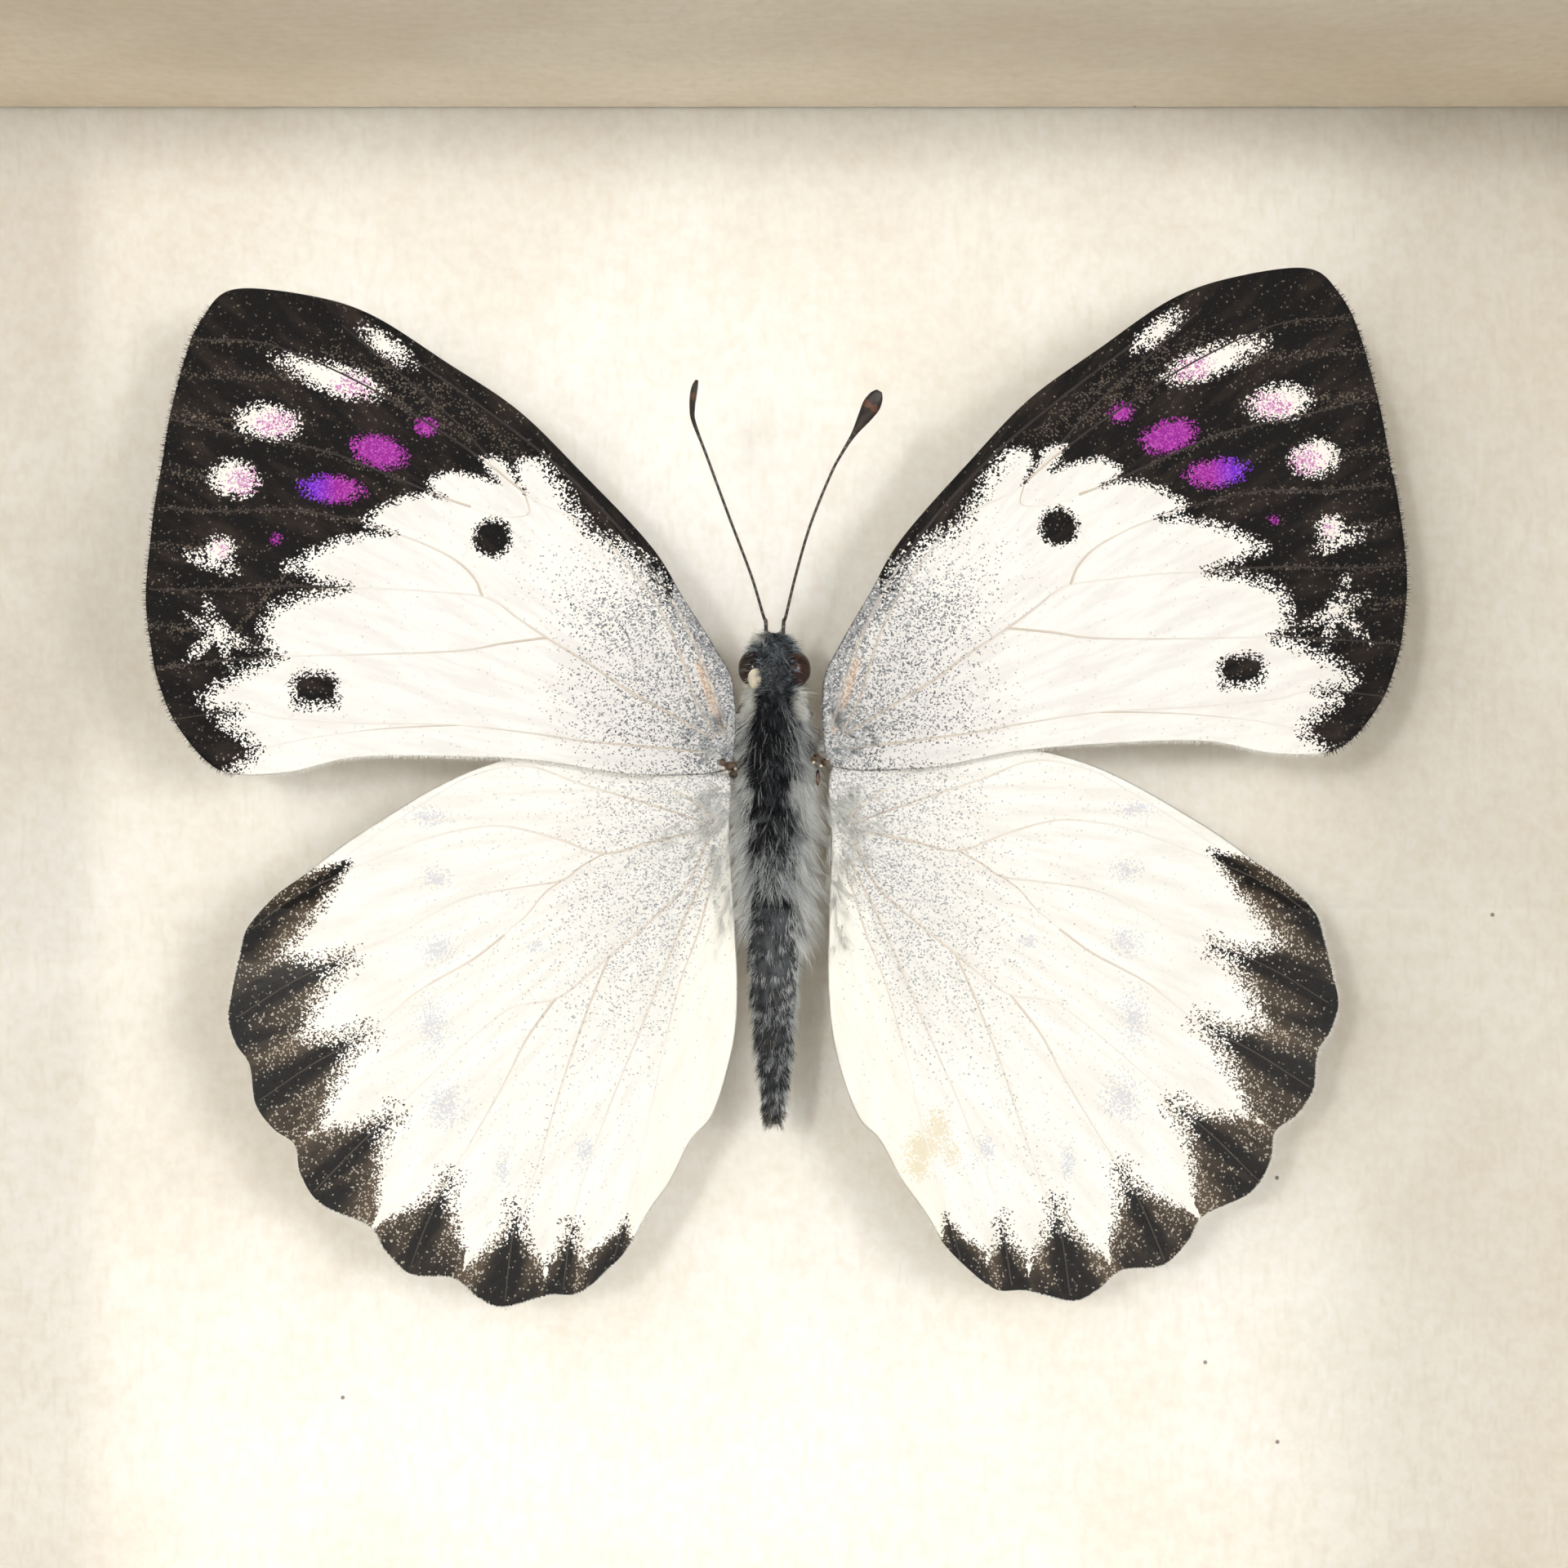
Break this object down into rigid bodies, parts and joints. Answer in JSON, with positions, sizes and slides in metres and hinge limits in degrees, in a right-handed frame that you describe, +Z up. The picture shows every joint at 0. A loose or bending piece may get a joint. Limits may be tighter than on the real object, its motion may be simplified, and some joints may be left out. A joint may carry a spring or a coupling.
{
  "type": "framed butterfly specimen",
  "caption": "Deep square wooden box frame with a white butterfly, black wing tips with violet spots, set open behind glass on cream paper.",
  "frame": {"origin": "middle of the bounding box's bottom, on the surface that the frame stands on", "axes": "+Z up, -Y out of the glass towards the viewer, +X to the viewer's right"},
  "size_m": [0.125, 0.0428, 0.125],
  "materials": {
    "stained_wood": "stained, satin",
    "clear_glass": "polished, clear",
    "cream_paper": "textured, matt",
    "brown_board": "plain, matt",
    "kraft_paper": "plain, matt",
    "plated_steel": "plated, satin",
    "forewing_scales": "powdery, matt, with black, magenta and violet scales",
    "hindwing_scales": "powdery, matt, with dark border scales",
    "body_hair": "hairy, matt",
    "dark_horn": "hard, satin"
  },
  "bodies": {
    "root": {"rail_bottom": "stained_wood", "rail_left": "stained_wood", "rail_top": "stained_wood", "rail_right": "stained_wood", "glass_pane": "clear_glass", "mount_panel": "cream_paper", "liner_top": "cream_paper", "liner_bottom": "cream_paper", "liner_left": "cream_paper", "liner_right": "cream_paper", "backing_board": "brown_board", "dust_cover": "kraft_paper", "hanger_plate": "plated_steel", "hanger_screw_left": "plated_steel", "hanger_screw_right": "plated_steel", "forewing_left": "forewing_scales", "forewing_right": "forewing_scales", "hindwing_left": "hindwing_scales", "hindwing_right": "hindwing_scales", "body": "body_hair", "antenna_left": "dark_horn", "antenna_right": "dark_horn", "leg_front_left": "dark_horn", "leg_front_right": "dark_horn", "leg_middle_left": "dark_horn", "leg_middle_right": "dark_horn", "leg_hind_left": "dark_horn", "leg_hind_right": "dark_horn", "specimen_pin": "plated_steel"}
  },
  "joints": []
}
